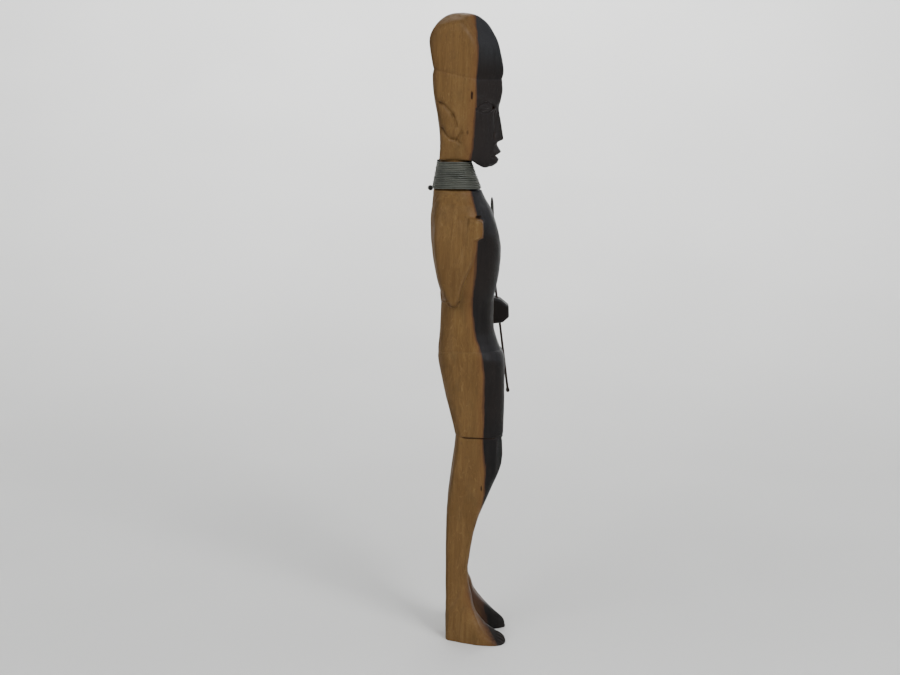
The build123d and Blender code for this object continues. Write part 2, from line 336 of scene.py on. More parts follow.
HEAD_SIDE = [
    (-15.6, 239.5), (-16.5, 239.6), (-16.5, 240.4), (-16.3, 246.0), (-16.6, 252.0),
    (-17.6, 259.0), (-19.0, 265.5), (-20.1, 272.0), (-20.5, 278.0), (-20.3, 281.5),
    (-20.9, 285.0), (-21.8, 290.0), (-22.3, 294.5), (-21.7, 297.6), (-20.3, 300.4),
    (-18.2, 303.2), (-15.6, 305.4), (-12.4, 306.8), (-9.0, 307.4), (-5.0, 307.4), (-1.4, 306.7),
    (2.0, 305.0), (5.2, 302.3), (8.0, 298.0), (9.8, 294.4), (11.3, 289.2), (12.4, 284.4),
    (12.8, 281.0), (12.4, 277.8), (12.3, 275.2), (12.6, 272.6), (12.3, 269.8), (11.5, 266.8),
    (10.2, 264.4), (9.2, 260.0), (9.0, 254.0), (9.2, 248.0), (9.4, 244.0), (9.6, 240.6),
    (8.6, 238.0), (6.6, 236.3), (4.2, 236.3), (1.4, 237.6), (-1.2, 239.1), (-6.0, 239.5),
]
HEAD_FRONT = [
    (-7.5, 226.0), (7.5, 226.0), (7.7, 240.0), (8.8, 245.0), (10.4, 252.0), (11.7, 260.0),
    (12.5, 268.0), (13.0, 277.0), (13.2, 290.0), (13.1, 299.0), (12.4, 302.4), (8.6, 308.6),
    (4.6, 313.0), (0.0, 315.0), (-4.6, 313.0), (-8.6, 308.6), (-12.4, 302.4), (-13.1, 299.0),
    (-13.2, 290.0), (-13.0, 277.0), (-12.5, 268.0), (-11.7, 260.0), (-10.4, 252.0), (-8.8, 245.0),
    (-7.7, 240.0),
]

# How far out the slanting planes of the face stand, at each height.
FACE_HEIGHTS = (236.0, 244.0, 256.0, 266.0, 272.0, 283.0, 291.5, 297.0, 302.0, 307.0)
FACE_REACH = (8.6, 9.2, 9.6, 9.9, 10.2, 10.5, 10.3, 8.5, 5.6, 2.4)
DIAGONAL = 0.7071  # each part of a unit normal at 45 degrees


def head(x, y, z):
    """The head without its nose and mouth, with straight planes left by the knife."""
    side = outline_distance(rounded_outline(HEAD_SIDE, 3), x[:, 0], z[:, 0])[:, None, :]
    front = outline_distance(HEAD_FRONT, y[0], z[0])[None, :, :]
    blend = np.interp(z, (239.0, 243.0, 262.0, 284.0), (0.8, 2.6, 5.0, 3.6))
    whole = smooth_common(side, front, blend)
    # A wide chamfer runs round the crown, over the flat sides.
    chamfer = (side + front) * DIAGONAL + np.interp(z, (284.0, 298.0, 308.0), (0.0, 1.6, 3.4))
    whole = smooth_common(whole, chamfer, 0.9)
    # Two broad planes slant back from the face on each side.
    slant = np.interp(z, (238.0, 262.0, 276.0, 300.0), (0.66, 0.72, 0.58, 0.62))
    reach = sum(np.interp(z + step, FACE_HEIGHTS, FACE_REACH) for step in (-4, -2, 0, 2, 4)) / 5
    plane = x * slant + np.abs(y) * np.sqrt(1 - slant**2) - reach
    return smooth_common(whole, plane, 1.2)


NOSE_ROOT = 265.5  # the height where the nose starts between the eyes
NOSE_LENGTH = 16.5
NOSE_BASE = 247.5
NOSE_TOP = 267.0  # nothing of the nose shows above this


def nose(x, y, z):
    """A straight ridge that stands out and widens downwards, cut off underneath."""
    along = np.clip((NOSE_ROOT - z) / NOSE_LENGTH, 0, 1)
    ridge = 10.5 + 3.0 * along
    half = 1.2 + 2.7 * along**2
    sides = (x - ridge) * 0.74 + (np.abs(y) - 0.5) * 0.67
    body = smooth_common(sides, np.abs(y) - half, 1.8)
    under = (NOSE_BASE - z) * 0.93 + (x - 10.0) * 0.42
    ends = np.maximum(z - NOSE_TOP, 4.0 - x)
    return smooth_common(smooth_common(body, under, 0.5), ends, 0.8)


MOUTH = [
    (6.0, 248.4), (9.4, 248.2), (10.6, 246.7), (12.9, 243.4), (10.5, 241.5), (11.7, 239.9),
    (11.1, 238.2), (8.8, 236.5), (6.0, 236.5),
]
MOUTH_BEND = 0.10  # how fast the lips fall back, per square millimetre
MOUTH_HALF_WIDTH = 4.9


def mouth(x, y, z):
    """The lips and chin: their profile falls back to each side of the middle."""
    flat = outline_distance(MOUTH, x + MOUTH_BEND * y**2, z)
    return smooth_common(flat, np.abs(y) - MOUTH_HALF_WIDTH, 2.6)


NECK_BASE = 224.6
NECK_HEIGHT = 15.0
NECK_MIDDLE = 231.5
NECK_HALF_HEIGHT = 9.0


def neck(x, y, z):
    """A cone that leans back a little as it narrows upwards."""
    share = (z - NECK_BASE) / NECK_HEIGHT
    centre = -8.0 - 1.3 * share
    radius = 10.3 - 3.7 * share
    return np.maximum(np.hypot(x - centre, y) - radius, np.abs(z - NECK_MIDDLE) - NECK_HALF_HEIGHT)


# Each shape goes in with two corners of a box that holds it and its blend, then how wide
# the blend is. The order matters, because each one blends into what is already there.
add(both_sides(column(LEGS)), (-12, -18, -2), (21, 18, 110))
cut(lambda x, y, z: -thigh_front(x, y, z), (5, -20, 78), (21, 20, 108), 0.4)
add(foot(-1, NEAR_FOOT_LOWERING), (-12, -20, -2), (24, 0, 40), 3.0)
add(foot(+1, 0.0), (-12, 0, -2), (24, 20, 40), 3.0)
add(column(SKIRT), (-20, -20, 100), (22, 20, 175), 0.8)
add(column(TORSO, 2.5), (-23, -20, 164), (20, 20, 228), 0.7)
add(arm(RIGHT_ARM, -1, 3.6), (-24, -22, 166), (8, -4, 232), 1.6, 6.0, (196, 214))
add(arm(LEFT_ARM, +1, 3.6), (-24, 4, 154), (14, 22, 232), 1.6, 6.0, (196, 214))
add(
    fist(RIGHT_FIST, RIGHT_FIST_OUTER, RIGHT_FIST_INNER, 1.6), (-4, -22, 200), (8, -9, 218), 1.6
)
left_fist = fist(
    LEFT_FIST, SPEAR_Y - LEFT_FIST_HALF_WIDTH, SPEAR_Y + LEFT_FIST_HALF_WIDTH, 1.4
)
add(left_fist, (6, 6, 155), (22, 21, 175), 0.8)
add(neck, (-22, -14, 221), (6, 14, 242), 0.3)
add(head, (-24, -15, 234), (15, 15, 309), 0.8)
add(mouth, (4, -7, 235), (15, 7, 250), 0.7)
add(nose, (4, -7, 243), (16, 7, 270), 1.8)


def groove(path, depth, width, soft=0.0, soft_width=2.0):
    """A line engraved through points seen from the side, with a wider soft hollow round it."""

    def amount(x, y, z):
        near = path_distance(path, x[:, 0], z[:, 0])
        line = depth * np.exp(-((near / width) ** 2)) + soft * np.exp(-((near / soft_width) ** 2))
        return line[:, None, :]

    return amount


def dent(cx, cz, rx, rz, depth):
    """A soft hollow seen from the side, or a swelling where depth is negative."""
    return lambda x, y, z: depth * np.exp(-(((x - cx) / rx) ** 2) - ((z - cz) / rz) ** 2) + 0 * y


def round_groove(height, depth, width):
    """A line cut right round the figure at height(x, y)."""
    return lambda x, y, z: depth * np.exp(-(((z - height(x, y)) / width) ** 2))


# Hairline, and the soft hollow under it.
HAIRLINE_PLACES = (-20.5, -8.0, 1.0, 13.0)
HAIRLINE_HEIGHTS = (281.6, 278.8, 277.4, 277.6)


def hairline(x, y):
    return np.interp(x, HAIRLINE_PLACES, HAIRLINE_HEIGHTS) + 0 * y


engrave(round_groove(hairline, depth=0.16, width=0.36), (-24, -16, 272), (16, 16, 286))
engrave(round_groove(hairline, depth=0.22, width=1.3), (-24, -16, 272), (16, 16, 288))

# The right and left ears: a slanting groove above, a long lobe below.
EAR_TOP = [
    (-16.7, 266.3), (-14.9, 265.3), (-12.5, 262.9), (-10.6, 260.4), (-9.3, 257.6), (-8.8, 255.2),
]
EAR_LOBE = [
    (-15.2, 254.4), (-13.8, 251.6), (-11.8, 249.5), (-9.6, 248.9), (-7.9, 249.8), (-6.4, 252.5),
]
EAR_NOTCH = [(-8.6, 249.0), (-7.2, 247.5)]
for low, high in (((-22, -16, 243), (-2, -6, 272)), ((-22, 6, 243), (-2, 16, 272))):
    engrave(dent(-12.4, 256.4, 3.0, 5.4, -0.75), low, high)
    engrave(groove(EAR_TOP, depth=0.6, width=0.62, soft=0.4, soft_width=1.4), low, high)
    engrave(groove(EAR_LOBE, depth=0.6, width=0.62, soft=0.4, soft_width=1.5), low, high)
    engrave(groove(EAR_NOTCH, depth=0.85, width=0.75), low, high)
    engrave(dent(-10.5, 260.7, 0.7, 1.1, 0.6), low, high)

# Eyes: a lid swelling between two lines, in a shallow socket.
LID = [(0.4, 263.6), (2.5, 265.8), (5.1, 266.8), (7.2, 266.0), (8.4, 264.5)]
LOWER_LID = [(0.7, 263.1), (2.9, 262.1), (5.2, 261.8), (7.2, 262.6), (8.3, 264.0)]
EYE_SLIT = [(1.4, 263.8), (3.8, 263.6), (5.9, 263.7), (7.8, 264.2)]
for low, high in (((-2, -15, 254), (13, -3, 272)), ((-2, 3, 254), (13, 15, 272))):
    engrave(dent(6.4, 262.2, 4.2, 3.6, 0.8), low, high)
    engrave(dent(5.0, 264.4, 2.8, 1.5, -0.6), low, high)
    engrave(groove(LID, depth=0.6, width=0.42), low, high)
    engrave(groove(LOWER_LID, depth=0.55, width=0.4), low, high)
    engrave(groove(EYE_SLIT, depth=0.25, width=0.3), low, high)
    engrave(dent(8.1, 264.3, 0.55, 0.7, 0.7), low, high)
    engrave(dent(4.0, 268.6, 5.0, 1.3, -0.35), low, high)

# Nostrils, the wings of the nose and the line of the mouth.
WING = [(9.3, 252.2), (8.9, 250.4), (9.8, 248.8)]
NOSTRIL = [(10.9, 249.5), (12.2, 249.0), (13.0, 249.7)]
for low, high in (((6, -7, 243), (15, -0.9, 256)), ((6, 0.9, 243), (15, 7, 256))):
    engrave(groove(WING, depth=0.35, width=0.45), low, high)
    engrave(groove(NOSTRIL, depth=0.3, width=0.32), low, high)
cut(both_sides(ellipsoid(11.3, 1.5, 247.9, 1.3, 0.8, 0.8)), (8, -4, 246), (14, 4, 250), 0.3)
MOUTH_LINE = [(6.4, 241.0), (8.2, 241.3), (10.8, 241.5)]
engrave(groove(MOUTH_LINE, depth=0.4, width=0.4), (4, -5, 238), (13, 5, 246))

# The folded right arm, and the hollow over the fist.
FOLD = [(-4.9, 212.0), (-5.0, 204.0), (-5.6, 198.0), (-7.6, 192.6)]
FOLD_FRONT = [(-5.3, 199.6), (-5.2, 195.0), (-4.6, 192.4)]
low, high = (-14, -22, 186), (2, -13, 218)
engrave(groove(FOLD, depth=0.2, width=0.5, soft=0.5, soft_width=2.1), low, high)
engrave(groove(FOLD_FRONT, depth=0.2, width=0.45), low, high)
WRIST = [(-0.4, 213.6), (-0.2, 209.0), (-0.6, 204.0)]
engrave(groove(WRIST, depth=0.15, width=1.3), (-4, -22, 202), (4, -15, 217))
cut(ellipsoid(2.9, -16.6, 213.7, 1.5, 2.6, 0.6), (0, -21, 211), (6, -12, 217), 0.4)
ELBOW_CREASE = [(-10.6, 173.0), (-9.6, 171.3), (-6.9, 171.1), (-6.1, 173.0)]
engrave(groove(ELBOW_CREASE, depth=0.45, width=0.7), (-14, -22, 168), (-3, -11, 178))


# The hole through the left fist lies along the spear.
SPEAR_FOOT_X, SPEAR_FOOT_Z = 20.1, 124.0
SPEAR_LEAN = 0.147  # how far it leans back for each millimetre up
HOLE_RADIUS = 0.85


def spear_hole(x, y, z):
    return np.hypot(x - SPEAR_FOOT_X + SPEAR_LEAN * (z - SPEAR_FOOT_Z), y - SPEAR_Y) - HOLE_RADIUS


cut(spear_hole, (6, 9, 150), (22, 18, 178), 0.2)

# The skirt's upper edge, and the groove at its hem. Both rise towards the front and back.
BELT = 145.4
HEM = 106.3


def belt(x, y):
    ends = np.interp(x, (-15.0, 4.0, 10.0, 17.0), (0.3, 0.0, 1.2, 2.8))
    return BELT + 3.6 * (y / 16.0) ** 2 + ends + 0 * y


def hem(x, y):
    ends = np.interp(x, (-6.0, 0.0, 12.0, 18.0), (0.7, 0.2, 0.1, 1.0))
    return HEM - 0.4 * (y / 14.0) ** 2 + ends + 0 * y


def belt_step(x, y, z):
    """The body is cut back above the belt, most of all in front."""
    above = z - belt(x, y)
    depth = np.interp(x, (2.0, 9.0), (0.22, 0.42))
    return depth / (1 + np.exp(-above / 0.22)) * np.exp(-np.maximum(above, 0) / 3.0)


engrave(belt_step, (-20, -20, 140), (22, 20, 166))
engrave(round_groove(belt, depth=0.16, width=0.4), (-20, -20, 140), (22, 20, 155))
engrave(round_groove(hem, depth=0.45, width=0.38), (-20, -20, 101), (22, 20, 112))


def back_modelling(x, y, z):
    """The hollow of the spine, soft shoulder blades, and a step under the elbows' backs."""
    behind = np.clip((-8 - x) / 4, 0, 1)
    spine = 0.9 * np.exp(-((y / 2.2) ** 2)) * np.interp(z, (150, 162, 205, 218), (0, 1, 1, 0))
    blades = 0.5 * np.exp(-(((np.abs(y) - 7.5) / 3.4) ** 2) - ((z - 199) / 10) ** 2)
    step = 0.5 * np.interp(z, (173.4, 174.3, 182), (0, 1, 0))
    return behind * (spine - blades + step)


engrave(back_modelling, (-24, -22, 148), (-7, 22, 220))

# Four grooves part the toes of each foot, and spread a little towards their tips.
TOE_GAPS = (8.9, 10.9, 12.9, 14.8)
TOE_SPREAD = 0.05
TOE_GROOVE_WIDTH, TOE_GROOVE_DEPTH = 0.36, 0.45


def toe_grooves(x, y, z):
    across = np.abs(y)
    beside = [across - gap - TOE_SPREAD * (x - 21) for gap in TOE_GAPS]
    lines = sum(np.exp(-((distance / TOE_GROOVE_WIDTH) ** 2)) for distance in beside)
    on_toes = np.clip((x - 17.6) / 2.4, 0, 1)
    off_sole = np.clip((z - 0.4) / 0.8, 0, 1)
    return TOE_GROOVE_DEPTH * lines * on_toes * off_sole


engrave(toe_grooves, (17, -20, 0), (24, 20, 12))

# Slow waves left by the knife and the sandpaper.
WAVE = 0.05
cuts, x, y, z = region(GRID_LOW, GRID_HIGH)
field[cuts] += WAVE * np.sin(x * 0.61 + 0.11 * z) * np.cos(y * 0.53 - 0.07 * z + 1.0)
field[cuts] += WAVE * np.sin(y * 0.83 + 0.19 * z + 2.0) * np.sin(x * 0.37 - 0.13 * z)

# The soles are cut flat on the floor.
field[:] = np.maximum(field, -axes[2][None, None, :])


# ---- from the field to a mesh ----


def surface_mesh(values):
    """Vertices and quads of the zero surface: one vertex in each cell that the surface crosses."""
    inside = values < 0
    corners = [(i, j, k) for i in (0, 1) for j in (0, 1) for k in (0, 1)]
    shape = [n - 1 for n in values.shape]

    def shifted(array, corner):
        return array[tuple(slice(c, c + n) for c, n in zip(corner, shape))]

    count = sum(shifted(inside, c).astype(np.int8) for c in corners)
    cells = np.argwhere((count > 0) & (count < 8))
    number = np.full(shape, -1, dtype=np.int64)
    number[tuple(cells.T)] = np.arange(len(cells))

    total = np.zeros((len(cells), 3))
    crossings = np.zeros(len(cells))
    for corner in corners:
        for axis in range(3):
            if corner[axis]:
                continue
            other = list(corner)
            other[axis] = 1
            a = values[tuple((cells + corner).T)]
            b = values[tuple((cells + other).T)]
            crossed = (a < 0) != (b < 0)
            share = np.where(crossed, a / np.where(crossed, a - b, 1), 0)
            point = np.tile(np.array(corner, dtype=float), (len(cells), 1))
            point[:, axis] = share
            total += point * crossed[:, None]
            crossings += crossed
    points = cells + total / crossings[:, None]
    vertices = points * VOXEL + np.array([a[0] for a in axes])

    quads = []
    for axis in range(3):
        one, two = (axis + 1) % 3, (axis + 2) % 3
        start = [slice(1, -1)] * 3
        start[axis] = slice(0, -1)
        end = list(start)
        end[axis] = slice(1, None)
        a, b = inside[tuple(start)], inside[tuple(end)]
        edges = np.argwhere(a != b) + [0 if i == axis else 1 for i in range(3)]
        leaving = inside[tuple(edges.T)]
        around = []
        for d_one, d_two in ((-1, -1), (0, -1), (0, 0), (-1, 0)):
            cell = edges.copy()
            cell[:, one] += d_one
            cell[:, two] += d_two
            around.append(number[tuple(cell.T)])
        loop = np.stack(around, 1)
        loop[~leaving] = loop[~leaving][:, ::-1]
        quads.append(loop)
    return vertices, np.concatenate(quads)


def make_object(name, vertices, faces, body):
    mesh = bpy.data.meshes.new(name)
    mesh.from_pydata((vertices * MM).tolist(), [], [list(face) for face in faces])
    mesh.shade_smooth()
    mesh.validate()
    piece = bpy.data.objects.new(name, mesh)
    bpy.context.scene.collection.objects.link(piece)
    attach(piece, body)
    return piece


vertices, faces = surface_mesh(field)
figure = make_object("figure_carving", vertices, faces, "figure")
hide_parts("carved_figure")

# ---- what the wood's colour follows ----

# Where the dark heartwood begins, seen from the side, as (height, x).
HEART_LINE = [
    (0.0, 14.6), (8.0, 13.4), (14.0, 11.6), (22.0, 9.0), (34.0, 9.2), (60.0, 10.8), (73.0, 10.8),
    (79.0, 10.8), (88.0, 10.2), (96.0, 9.0), (106.0, 7.9), (118.0, 7.4), (130.0, 6.6),
    (137.0, 6.3), (142.0, 5.4), (148.0, 5.0), (151.5, 4.4), (154.4, 3.3), (160.0, 2.3),
    (166.0, 1.6), (172.0, 1.0), (178.0, 0.8), (190.0, 0.8), (198.0, 0.7), (206.0, 0.6),
    (213.0, 0.9), (218.0, 0.9), (223.0, 0.9), (240.0, 0.9), (245.0, 1.5), (253.0, 1.1),
    (262.0, 1.0), (276.0, 0.7), (292.0, 1.3), (300.0, 1.8), (305.5, 1.8),
]
EDGE_SHIFT = 3.6  # the line is drawn on the side; in the middle the edge is this far back
BEND_RADIUS = 27.0  # the heartwood's edge follows a growth ring


def sample(points):
    """The field's value at points, in millimetres."""
    place = [(points[:, i] - axes[i][0]) / VOXEL for i in range(3)]
    whole = [np.clip(np.floor(p).astype(int), 0, len(a) - 2) for p, a in zip(place, axes)]
    part = [np.clip(p - w, 0, 1) for p, w in zip(place, whole)]
    value = np.zeros(len(points))
    for i in (0, 1):
        for j in (0, 1):
            for k in (0, 1):
                weight = 1.0
                for p, c in zip(part, (i, j, k)):
                    weight = weight * (p if c else 1 - p)
                value += weight * field[whole[0] + i, whole[1] + j, whole[2] + k]
    return value


def store(piece, name, values):
    attribute = piece.data.attributes.new(name, "FLOAT", "POINT")
    attribute.data.foreach_set("value", np.asarray(values, dtype=np.float32))


normals = np.zeros(len(vertices) * 3, dtype=np.float32)
figure.data.vertices.foreach_get("normal", normals)
normals = normals.reshape(-1, 3)
line_heights, line_places = np.array(HEART_LINE).T
across, heights = vertices[:, 1], vertices[:, 2]
edge_x = np.interp(heights, line_heights, line_places) - EDGE_SHIFT
edge_x = edge_x + across**2 / (2 * BEND_RADIUS)
# The heartwood starts a little nearer the toes, by another amount on each foot.
far_foot = np.clip(across / 3, 0, 1) * np.interp(heights, (26.0, 36.0), (2.6, 0.0))
near_foot = np.clip(-across / 3, 0, 1) * np.interp(heights, (12.0, 24.0), (1.7, 0.0))
# In the feet the two woods run into each other more gradually.
gradual = np.interp(heights, (26.0, 42.0), (0.5, 1.0))
# The right fist is brown right to its front.
fist_height = np.interp(heights, (203.0, 204.0, 212.4, 213.4), (0.0, 3.6, 3.6, 0.0))
near_fist = np.clip((-across - 12) / 2, 0, 1) * fist_height
store(figure, "heart", (vertices[:, 0] - edge_x - far_foot - near_foot - near_fist) * gradual)
# Surfaces that face backwards get painted shade, as if turned away from the lamps.
store(figure, "rear", -normals[:, 0])
# Painted sheen lightens what faces up, from the skirt upwards.
store(figure, "up", normals[:, 2] * np.interp(heights, (100.0, 110.0), (0.0, 1.0)))
# The tops of the feet are red-brown where the heartwood lies just under them.
inner = np.interp(np.abs(across), (7.0, 11.5), (1.0, 0.35))
under_skin = np.interp(vertices[:, 0] - edge_x - far_foot - near_foot, (-6.5, -2.0), (0.0, 1.0))
store(figure, "red", under_skin * inner * np.interp(heights, (26.0, 36.0), (1.0, 0.0)))
# Dirt and painted shade darken narrow cuts, painted shade darkens wide hollows, and hands rub the
# dirt off the edges.
NARROW, WIDE = 0.9, 2.6
store(figure, "narrow_hollow", 1 - sample(vertices + normals * NARROW) / NARROW)
store(figure, "dirt_edge", 1 + sample(vertices - normals * NARROW) / NARROW)
store(figure, "shade", 1 - sample(vertices + normals * WIDE) / WIDE)


# ---- wire coil ----

WIRE_RADIUS = 0.45
COIL_TURNS = 15
SEGMENTS = 96  # in each turn
COIL_TOP = 238.6
COIL_HEIGHT = 12.8
COIL_TOP_RADIUS, COIL_WIDENING = 7.85, 3.6
COIL_TOP_X, COIL_FORWARD = -9.4, 1.5
COIL_DROOP = 0.7  # the sides stand this much higher than the front and back
COIL_REACH = 11.8
CURL_X, CURL_Y, CURL_Z = -20.45, 0.2, 225.4
CURL_RADIUS, CURL_TIGHTENING, CURL_ADVANCE = 0.86, 0.03, 0.12
CURL_WIRE_RADIUS = 0.6


def tube(points, radii, sides=10):
    """A round tube along points, closed at both ends, with a radius at each point."""
    p = np.array(points, dtype=float)
    along = np.gradient(p, axis=0)
    along /= np.linalg.norm(along, axis=1)[:, None]
    across = np.cross(along, (0.0, 0.0, 1.0))
    flat = np.linalg.norm(across, axis=1) < 0.2
    across[flat] = np.cross(along[flat], (1.0, 0.0, 0.0))
    across /= np.linalg.norm(across, axis=1)[:, None]
    up = np.cross(across, along)
    angle = np.linspace(0, 2 * math.pi, sides, endpoint=False)
    cosine, sine = np.cos(angle)[None, :, None], np.sin(angle)[None, :, None]
    ring = across[:, None] * cosine + up[:, None] * sine
    vertices = (p[:, None] + ring * np.array(radii)[:, None, None]).reshape(-1, 3)
    faces = [list(range(sides))]
    for i in range(len(p) - 1):
        for j in range(sides):
            k = (j + 1) % sides
            here, there = i * sides, (i + 1) * sides
            faces.append([here + j, there + j, there + k, here + k])
    faces.append([len(vertices) - 1 - j for j in range(sides)])
    return vertices, faces


turn = np.linspace(0, COIL_TURNS, COIL_TURNS * SEGMENTS + 1)
share = turn / COIL_TURNS
theta = math.pi - 2 * math.pi * turn
# The turns wander a little, as hand-wound wire does, but not at the coil's ends.
wobble = 0.13 * np.sin(theta * 0.93 + 1.3) + 0.09 * np.sin(theta * 2.11 + turn * 0.7)
wobble = wobble + 0.05 * np.sin(theta * 3.3)
fade = np.clip(np.minimum(share, 1 - share) * 9, 0, 1)
coil_radius = COIL_TOP_RADIUS + COIL_WIDENING * share + 0.07 * np.sin(theta * 1.37 + 0.4) * fade
coil_x = COIL_TOP_X + COIL_FORWARD * share + coil_radius * np.cos(theta)
coil_y = coil_radius * np.sin(theta)
droop = COIL_DROOP * (coil_y / COIL_REACH) ** 2
coil_z = COIL_TOP - COIL_HEIGHT * share + wobble * fade + droop
winding = np.stack([coil_x, coil_y, coil_z], 1)

# The free end of the wire is curled up small at the nape.
curl = np.linspace(0.3, 3.7 * math.pi, 72)
curl_radius = CURL_RADIUS - CURL_TIGHTENING * curl
curl_x = CURL_X + curl_radius * np.cos(curl)
curl_y = CURL_Y + CURL_ADVANCE * curl
curl_z = CURL_Z + curl_radius * np.sin(curl)
coil_path = np.concatenate([winding, np.stack([curl_x, curl_y, curl_z], 1)])
swelling = (len(winding), len(winding) + 12)
coil_radii = np.interp(np.arange(len(coil_path)), swelling, (WIRE_RADIUS, CURL_WIRE_RADIUS))
coil_vertices, coil_faces = tube(coil_path, coil_radii)
coil = make_object("coil_winding", coil_vertices, coil_faces, "coil")
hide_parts("neck_coil")

# ---- spear ----

SPEAR_LINE = [
    (20.26, 122.9), (20.1, 124.0), (18.33, 136.0), (16.56, 148.0), (14.79, 160.0), (13.02, 172.0),
    (12.13, 178.0), (11.05, 186.0), (10.5, 195.0), (10.2, 205.0), (9.75, 215.0), (9.25, 220.4),
]
SPEAR_PROFILE = [
    (122.9, 0.10), (123.05, 0.60), (123.5, 0.90), (124.1, 0.96), (124.8, 0.80), (125.5, 0.64),
    (127.0, 0.62), (203.0, 0.58), (206.0, 0.64), (210.0, 0.80), (217.0, 0.78), (219.2, 0.58),
    (220.1, 0.38), (220.4, 0.12),
]
SPEAR_BOTTOM, KNOB_TOP, SPEAR_TOP = 122.9, 127.0, 220.4
HEAD_FLATNESS = 0.42
knob_z = np.linspace(SPEAR_BOTTOM, KNOB_TOP, 24)
spear_z = np.concatenate([knob_z, np.linspace(KNOB_TOP + 0.6, SPEAR_TOP, 170)])
line_x, line_z = np.array(SPEAR_LINE).T
# Above the fist the bends are softened by averaging the line over 8 mm.
softening = np.clip((spear_z - 172) / 12, 0, 1)
spread = [np.interp(spear_z + s * softening, line_z, line_x) for s in np.linspace(-4, 4, 9)]
spear_x = np.mean(spread, axis=0)
profile_z, profile_radius = np.array(SPEAR_PROFILE).T
spear_path = np.stack([spear_x, np.full(len(spear_z), SPEAR_Y), spear_z], 1)
spear_vertices, spear_faces = tube(spear_path, np.interp(spear_z, profile_z, profile_radius), 14)
# The head of the spear is hammered flat.
flatness = np.interp(spear_vertices[:, 2], (203.0, 208.0), (1.0, HEAD_FLATNESS))
spear_vertices[:, 1] = SPEAR_Y + (spear_vertices[:, 1] - SPEAR_Y) * flatness
spear_shaft = make_object("spear_shaft", spear_vertices, spear_faces, "spear")
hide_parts("spear")

# ---- materials ----


class Nodes:
    """Short ways to build one material's nodes."""

    def __init__(self, name):
        self.material = bpy.data.materials.new(name)
        self.material.use_nodes = True
        self.tree = self.material.node_tree
        self.shader = self.tree.nodes["Principled BSDF"]
        place = self.tree.nodes.new("ShaderNodeTexCoord")
        self.place = self.vector(place.outputs["Object"], (1000, 1000, 1000))

    def put(self, socket, value):
        """Links a socket to a node's output, or sets it to a number or colour."""
        if isinstance(value, bpy.types.NodeSocket):
            self.tree.links.new(value, socket)
        else:
            socket.default_value = (*value, 1) if socket.type == "RGBA" else value

    def vector(self, source, scale):
        node = self.tree.nodes.new("ShaderNodeVectorMath")
        node.operation = "MULTIPLY"
        self.put(node.inputs[0], source)
        node.inputs[1].default_value = scale
        return node.outputs[0]

    def math(self, operation, a, b=0.0, clamp=False):
        node = self.tree.nodes.new("ShaderNodeMath")
        node.operation = operation
        node.use_clamp = clamp
        self.put(node.inputs[0], a)
        self.put(node.inputs[1], b)
        return node.outputs[0]

    def noise(self, scale, detail=3.0, roughness=0.55, distortion=0.0):
        """Noise over the piece; scale is in turns to the millimetre along X, Y and Z."""
        node = self.tree.nodes.new("ShaderNodeTexNoise")
        self.put(node.inputs["Vector"], self.vector(self.place, scale))
        node.inputs["Scale"].default_value = 1.0
        node.inputs["Detail"].default_value = detail
        node.inputs["Roughness"].default_value = roughness
        node.inputs["Distortion"].default_value = distortion
        return node.outputs["Fac"]

    def ramp(self, value, low, high, start=0.0, end=1.0):
        """Goes smoothly from start to end while value goes from low to high."""
        node = self.tree.nodes.new("ShaderNodeMapRange")
        node.interpolation_type = "SMOOTHSTEP"
        self.put(node.inputs["Value"], value)
        node.inputs["From Min"].default_value = low
        node.inputs["From Max"].default_value = high
        node.inputs["To Min"].default_value = start
        node.inputs["To Max"].default_value = end
        return node.outputs["Result"]

    def mix(self, share, a, b):
        """Colour a where share is 0 and colour b where it is 1."""
        node = self.tree.nodes.new("ShaderNodeMix")
        node.data_type = "RGBA"
        self.put(node.inputs["Factor"], share)
        self.put(node.inputs[6], a)
        self.put(node.inputs[7], b)
        return node.outputs[2]

    def attribute(self, name):
        node = self.tree.nodes.new("ShaderNodeAttribute")
        node.attribute_name = name
        return node.outputs["Fac"]

    def bump(self, height, distance):
        node = self.tree.nodes.new("ShaderNodeBump")
        node.inputs["Distance"].default_value = distance
        self.put(node.inputs["Height"], height)
        return node.outputs["Normal"]

    def height(self):
        node = self.tree.nodes.new("ShaderNodeSeparateXYZ")
        self.put(node.inputs[0], self.place)
        return node.outputs["Z"]

    def spot(self, centre, radii, ragged):
        """1 inside an ellipsoid, fading to 0 outside it, with a ragged edge."""
        near = self.tree.nodes.new("ShaderNodeVectorMath")
        near.operation = "SUBTRACT"
        self.put(near.inputs[0], self.place)
        near.inputs[1].default_value = centre
        scaled = self.vector(near.outputs[0], tuple(1 / r for r in radii))
        length = self.tree.nodes.new("ShaderNodeVectorMath")
        length.operation = "LENGTH"
        self.put(length.inputs[0], scaled)
        edge = self.math("ADD", length.outputs["Value"], self.math("MULTIPLY", ragged, 0.7))
        return self.ramp(edge, 1.05, 1.65, 1.0, 0.0)


# The colours of the brown sapwood, of the black heartwood, of the marks on both, and of the
# painted shade and sheen laid over them.
SAP_DEEP = (0.1240, 0.0689, 0.0234)
SAP_LIGHT = (0.1533, 0.0869, 0.0307)
SAP_STREAK = (0.0976, 0.0511, 0.0173)
SAP_PALE_STREAK = (0.1812, 0.1079, 0.0412)
SAP_FIBRE = (0.0725, 0.0355, 0.0114)
PALE_RING = (0.27, 0.165, 0.068)
DARK_RING = (0.075, 0.038, 0.014)
SAP_GRIME = (0.0857, 0.0519, 0.0198)
SAP_BLUSH = (0.1416, 0.0604, 0.0215)
SAP_SEAM = (0.0527, 0.0241, 0.0148)
SAP_PORE = (0.0395, 0.0185, 0.0074)
INSTEP_RED = (0.040, 0.020, 0.014)
SAP_HAIR = (0.070, 0.030, 0.009)
HEART_DEEP = (0.0074, 0.0069, 0.007)
HEART_LIGHT = (0.0126, 0.0107, 0.01)
